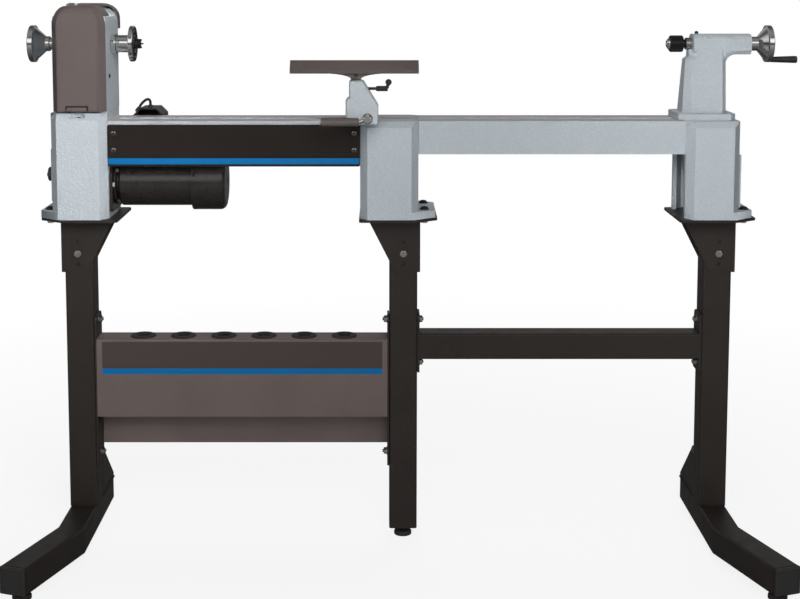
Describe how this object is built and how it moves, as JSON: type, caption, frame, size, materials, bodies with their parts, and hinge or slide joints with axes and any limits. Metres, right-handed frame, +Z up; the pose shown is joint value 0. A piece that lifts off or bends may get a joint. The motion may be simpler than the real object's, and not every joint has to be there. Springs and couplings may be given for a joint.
{
  "type": "wood lathe",
  "caption": "Floor-standing wood lathe: cast bed with extension, belt-driven headstock, sliding tool rest and tailstock, on a tubular steel stand with a tool shelf.",
  "frame": {"origin": "centre of the bounding box at floor level", "axes": "+X along the spindle from headstock to tailstock, +Y away from the operator, +Z up"},
  "size_m": [1.6293, 0.743, 1.1635],
  "materials": {
    "hammertone": "grey-blue hammertone enamel",
    "stand_paint": "dark brown-black satin powder coat",
    "shelf_paint": "dark grey-brown satin powder coat",
    "cover_plastic": "grey-brown moulded plastic",
    "panel_paint": "charcoal with a blue stripe",
    "black_plastic": "black moulded plastic",
    "black_paint": "gloss black enamel",
    "rubber": "black rubber",
    "chrome": "polished plating",
    "zinc": "zinc plated",
    "steel": "machined steel",
    "alloy": "machined aluminium",
    "black_steel": "black oxide",
    "rest_paint": "dark brown-grey satin paint"
  },
  "bodies": {
    "stand_and_bed": {"left_leg": "stand_paint", "middle_leg": "stand_paint", "right_leg": "stand_paint", "left_bracket": "stand_paint", "middle_bracket": "stand_paint", "right_bracket": "stand_paint", "cross_rail": "stand_paint", "tool_shelf": "shelf_paint", "left_front_leveling_foot": "rubber", "left_rear_leveling_foot": "rubber", "right_front_leveling_foot": "rubber", "right_rear_leveling_foot": "rubber", "middle_leveling_foot": "rubber", "left_front_end_cap": "black_plastic", "left_rear_end_cap": "black_plastic", "right_front_end_cap": "black_plastic", "right_rear_end_cap": "black_plastic", "left_post_bolt": "zinc", "middle_post_bolt": "zinc", "right_post_bolt": "zinc", "bed_casting": "hammertone", "bed_extension": "hammertone", "bed_panel": "panel_paint", "headstock": "hammertone", "inboard_bearing": "steel", "outboard_bearing": "steel", "rear_cover": "cover_plastic", "drive_belt": "rubber", "control_box": "black_plastic", "control_cable": "rubber"},
    "spindle_group": {"spindle": "chrome", "spindle_pulley": "alloy", "outboard_handwheel": "chrome", "faceplate": "chrome", "spur_center": "black_steel"},
    "motor_group": {"motor_plate": "black_paint", "motor_housing": "black_paint", "motor_end_cap": "black_paint"},
    "motor_rotor": {"motor_pulley": "alloy"},
    "cover": {"belt_cover": "cover_plastic"},
    "door": {"side_door": "hammertone"},
    "door_latch": {"door_knob": "black_plastic"},
    "dial": {"speed_knob": "black_plastic"},
    "rocker": {"power_switch": "black_plastic"},
    "banjo_clamp": {"banjo_clamp_plate": "steel"},
    "banjo_pivot": {"banjo_clamp_bolt": "zinc"},
    "banjo_body": {"banjo": "hammertone"},
    "banjo_cam": {"banjo_cam_lever": "black_plastic"},
    "rest_post": {"tool_post": "steel"},
    "rest_bar": {"tool_rest": "rest_paint"},
    "rest_lock": {"rest_lock_lever": "black_plastic"},
    "tail": {"tailstock": "hammertone", "tail_clamp_bolt": "steel"},
    "quill_group": {"quill": "steel", "live_center_body": "black_steel"},
    "live_nose": {"live_center_nose": "chrome"},
    "tail_wheel": {"tail_handwheel": "chrome"},
    "crank_grip": {"tail_handle": "black_plastic"},
    "quill_lock_group": {"quill_lock": "black_plastic"},
    "tail_cam": {"tail_cam_lever": "black_plastic"}
  },
  "joints": [
    {"name": "spindle_spin", "type": "hinge", "parent": "stand_and_bed", "child": "spindle_group", "pos_m": [-0.6421, 0, 1.07725], "axis": [1, 0, 0], "continuous": true},
    {"name": "motor_swing", "type": "hinge", "parent": "stand_and_bed", "child": "motor_group", "pos_m": [-0.6421, 0.0545, 0.7826], "axis": [-1, 0, 0], "range_deg": [0, 4]},
    {"name": "motor_spin", "type": "hinge", "parent": "motor_group", "child": "motor_rotor", "pos_m": [-0.6421, 0, 0.7826], "axis": [1, 0, 0], "continuous": true},
    {"name": "belt_cover_hinge", "type": "hinge", "parent": "stand_and_bed", "child": "cover", "pos_m": [-0.7276, 0, 1.16], "axis": [-1, 0, 0], "range_deg": [0, 100]},
    {"name": "side_door_hinge", "type": "hinge", "parent": "stand_and_bed", "child": "door", "pos_m": [-0.7646, 0.0655, 0.8035], "axis": [0, 0, -1], "range_deg": [0, 100]},
    {"name": "door_knob_turn", "type": "hinge", "parent": "door", "child": "door_latch", "pos_m": [-0.7601, -0.04, 0.8035], "axis": [1, 0, 0], "range_deg": [0, 90]},
    {"name": "speed_knob_turn", "type": "hinge", "parent": "stand_and_bed", "child": "dial", "pos_m": [-0.5681, 0.14, 0.885], "axis": [0, 1, 0], "range_deg": [-135, 135]},
    {"name": "power_switch_rock", "type": "hinge", "parent": "stand_and_bed", "child": "rocker", "pos_m": [-0.6001, 0.14, 0.88], "axis": [1, 0, 0], "range_deg": [0, 20]},
    {"name": "banjo_slide", "type": "slide", "parent": "stand_and_bed", "child": "banjo_clamp", "axis": [1, 0, 0], "range_m": [-0.42, 0.42]},
    {"name": "banjo_swivel", "type": "hinge", "parent": "banjo_clamp", "child": "banjo_pivot", "pos_m": [-0.0976, 0, 0.89], "axis": [0, 0, -1], "range_deg": [-35, 35]},
    {"name": "banjo_cross", "type": "slide", "parent": "banjo_pivot", "child": "banjo_body", "axis": [0, 1, 0], "range_m": [-0.03, 0.03]},
    {"name": "banjo_cam_turn", "type": "hinge", "parent": "banjo_body", "child": "banjo_cam", "pos_m": [-0.0976, 0, 0.9316], "axis": [0, 1, 0], "range_deg": [0, 170]},
    {"name": "rest_lift", "type": "slide", "parent": "banjo_body", "child": "rest_post", "axis": [0, 0, 1], "range_m": [0, 0.045]},
    {"name": "rest_swivel", "type": "hinge", "parent": "rest_post", "child": "rest_bar", "pos_m": [-0.1211, -0.125, 1.0086], "axis": [0, 0, 1], "range_deg": [-90, 90]},
    {"name": "rest_lock_turn", "type": "hinge", "parent": "banjo_body", "child": "rest_lock", "pos_m": [-0.0801, -0.125, 0.991], "axis": [1, 0, 0], "range_deg": [0, 150]},
    {"name": "tail_slide", "type": "slide", "parent": "stand_and_bed", "child": "tail", "axis": [1, 0, 0], "range_m": [-0.6, 0.015]},
    {"name": "tail_wheel_turn", "type": "hinge", "parent": "tail", "child": "tail_wheel", "pos_m": [0.7279, 0, 1.07725], "axis": [1, 0, 0], "range_deg": [0, 7080]},
    {"name": "quill_slide", "type": "slide", "parent": "tail", "child": "quill_group", "axis": [-1, 0, 0], "range_m": [0, 0.05]},
    {"name": "live_center_spin", "type": "hinge", "parent": "quill_group", "child": "live_nose", "pos_m": [0.5479, 0, 1.07725], "axis": [1, 0, 0], "continuous": true},
    {"name": "crank_grip_spin", "type": "hinge", "parent": "tail_wheel", "child": "crank_grip", "pos_m": [0.7879, 0, 1.04365], "axis": [1, 0, 0], "continuous": true},
    {"name": "quill_lock_turn", "type": "hinge", "parent": "tail", "child": "quill_lock_group", "pos_m": [0.6077, 0, 1.07725], "axis": [0, 1, 0], "range_deg": [0, 80]},
    {"name": "tail_cam_turn", "type": "hinge", "parent": "tail", "child": "tail_cam", "pos_m": [0.6156, 0, 0.952], "axis": [0, 1, 0], "range_deg": [0, 55]}
  ],
  "couplings": [
    {"joint": "motor_spin", "follows": "spindle_spin", "ratio": 1},
    {"joint": "quill_slide", "follows": "tail_wheel_turn", "m_per_rad": 0.00040425}
  ]
}
